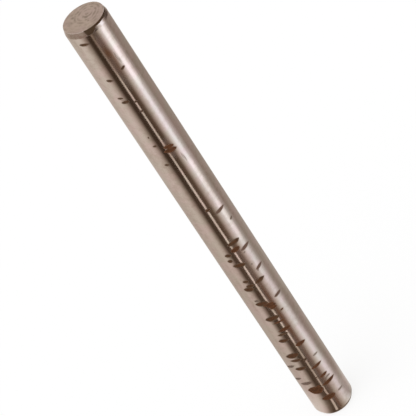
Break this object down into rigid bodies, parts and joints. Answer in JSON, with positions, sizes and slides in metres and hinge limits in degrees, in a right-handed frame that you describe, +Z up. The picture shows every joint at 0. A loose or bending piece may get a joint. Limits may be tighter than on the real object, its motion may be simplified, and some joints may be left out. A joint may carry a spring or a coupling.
{
  "type": "piston pin",
  "caption": "Solid ground steel piston pin, long and slim, with flat faced ends, a slim lead bevel at the head and a steeper one at the foot.",
  "frame": {"origin": "centre of the foot's end face, the end with the steeper bevel, which the pin stands on", "axes": "+Z up the pin's axis to the head, the end with the slim lead bevel; X and Y are free, because the pin is round"},
  "size_m": [0.0064, 0.0064, 0.0794],
  "materials": {
    "ground_steel": "ground round, worn and lightly rusted, with faced ends"
  },
  "bodies": {
    "root": {"piston_pin": "ground_steel"}
  },
  "joints": []
}
